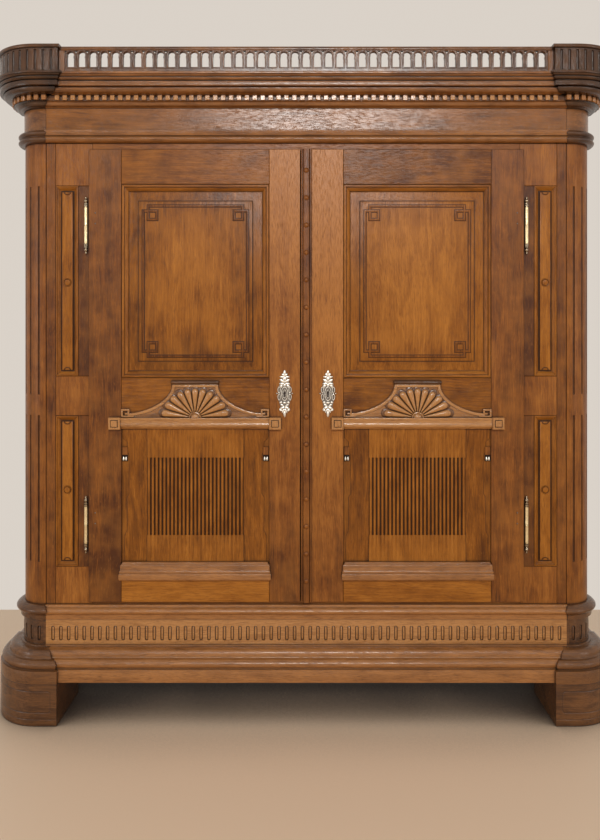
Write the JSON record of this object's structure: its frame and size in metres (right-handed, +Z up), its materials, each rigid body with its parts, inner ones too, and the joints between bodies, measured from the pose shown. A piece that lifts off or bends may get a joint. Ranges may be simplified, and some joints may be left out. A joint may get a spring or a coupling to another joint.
{
  "type": "two-door armoire cabinet",
  "caption": "Free-standing oak cabinet with paired panelled doors, rounded fluted corner posts, a dentilled cornice with an arcaded gallery, and a moulded base on block feet.",
  "frame": {"origin": "middle of the cabinet's outline on the floor", "axes": "+X to the right seen from the front, +Y towards the wall behind, +Z up"},
  "size_m": [2.034, 0.652, 2.116],
  "materials": {
    "oak_frame": "waxed honey-brown oak, long grain",
    "oak_panel": "waxed figured oak with darker edges",
    "oak_moulding": "dark stained oak, polished on the high edges",
    "oak_carved": "lighter carved oak with dark recesses",
    "oak_inside": "plain unpolished oak",
    "brass": "turned brass, lightly worn",
    "escutcheon_metal": "pale silvered brass with dark recesses",
    "iron": "dark oiled iron"
  },
  "bodies": {
    "carcass": {"architrave": "oak_moulding", "back_frame": "oak_inside", "back_panels": "oak_inside", "base_bead": "oak_moulding", "base_corners": "oak_moulding", "base_frieze": "oak_carved", "base_front_rail": "oak_moulding", "base_inner_rails": "oak_inside", "base_sides": "oak_moulding", "caps": "oak_moulding", "ceiling_board": "oak_inside", "clothes_rail": "oak_inside", "corner_posts": "oak_frame", "cornice_corners": "oak_moulding", "cornice_mouldings": "oak_moulding", "dentils": "oak_carved", "floor_board": "oak_inside", "frieze_boards": "oak_panel", "frieze_corners": "oak_moulding", "front_feet": "oak_moulding", "front_stiles": "oak_frame", "gallery": "oak_frame", "hat_shelf": "oak_inside", "hinge_frame_halves": "brass", "rail_sockets": "oak_inside", "rear_feet": "oak_moulding", "shelf_battens": "oak_inside", "side_frames": "oak_frame", "side_panels": "oak_panel", "stile_panels": "oak_panel", "surround_rails": "oak_frame", "top_board": "oak_inside"},
    "door_left": {"door_left_frame": "oak_frame", "door_left_lower_panel": "oak_panel", "door_left_moulding": "oak_moulding", "door_left_pediment": "oak_carved", "door_left_shelf_moulding": "oak_carved", "door_left_shell": "oak_carved", "door_left_sill_moulding": "oak_carved", "door_left_upper_panel": "oak_panel", "escutcheon_left": "escutcheon_metal", "hinge_door_halves_left": "brass", "lock_keep": "iron", "bolt_guides": "iron"},
    "door_right": {"door_right_frame": "oak_frame", "door_right_lower_panel": "oak_panel", "door_right_moulding": "oak_moulding", "door_right_pediment": "oak_carved", "door_right_shelf_moulding": "oak_carved", "door_right_shell": "oak_carved", "door_right_sill_moulding": "oak_carved", "door_right_upper_panel": "oak_panel", "escutcheon_right": "escutcheon_metal", "hinge_door_halves_right": "brass", "astragal": "oak_moulding", "lock_case": "iron"},
    "lock_bolt": {"lock_bolt": "iron"},
    "top_bolt": {"top_bolt": "iron"},
    "bottom_bolt": {"bottom_bolt": "iron"}
  },
  "joints": [
    {"name": "door_left_hinge", "type": "hinge", "parent": "carcass", "child": "door_left", "pos_m": [-0.703, -0.241, 1.0865], "axis": [0, 0, -1], "range_deg": [0, 150]},
    {"name": "door_right_hinge", "type": "hinge", "parent": "carcass", "child": "door_right", "pos_m": [0.703, -0.241, 1.0865], "axis": [0, 0, 1], "range_deg": [0, 150]},
    {"name": "lock_bolt_slide", "type": "slide", "parent": "door_right", "child": "lock_bolt", "axis": [-1, 0, 0], "range_m": [0, 0.016]},
    {"name": "top_bolt_slide", "type": "slide", "parent": "door_left", "child": "top_bolt", "axis": [0, 0, 1], "range_m": [0, 0.016]},
    {"name": "bottom_bolt_slide", "type": "slide", "parent": "door_left", "child": "bottom_bolt", "axis": [0, 0, -1], "range_m": [0, 0.016]}
  ]
}
